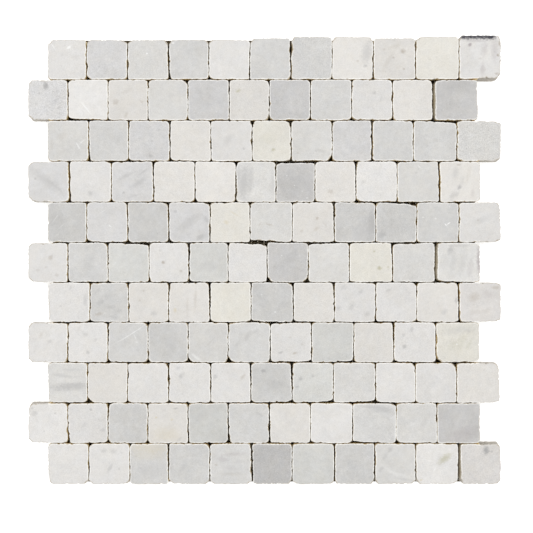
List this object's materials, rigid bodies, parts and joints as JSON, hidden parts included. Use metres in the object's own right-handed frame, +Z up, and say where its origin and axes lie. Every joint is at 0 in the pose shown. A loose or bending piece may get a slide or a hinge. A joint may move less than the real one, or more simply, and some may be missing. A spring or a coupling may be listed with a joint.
{
  "type": "mosaic tile sheet",
  "caption": "Flat mosaic sheet of small tumbled square marble stones in running bond, set with narrow open joints on a mesh backing, with stepped side edges.",
  "frame": {"origin": "on the back of the mesh, below the middle of the sheet's outline", "axes": "+Z up through the thickness to the face of the stones, +X along the rows to the right, +Y across the rows towards row 1, the row farthest from the viewer in the picture"},
  "size_m": [0.3017, 0.2864, 0.0105],
  "materials": {
    "marble": "tumbled, matt",
    "mesh": "coated glass-fibre mesh"
  },
  "bodies": {
    "root": {"tile_row_01": "marble", "tile_row_02": "marble", "tile_row_03": "marble", "tile_row_04": "marble", "tile_row_05": "marble", "tile_row_06": "marble", "tile_row_07": "marble", "tile_row_08": "marble", "tile_row_09": "marble", "tile_row_10": "marble", "tile_row_11": "marble", "mesh_lengthwise": "mesh", "mesh_crosswise": "mesh"}
  },
  "joints": []
}
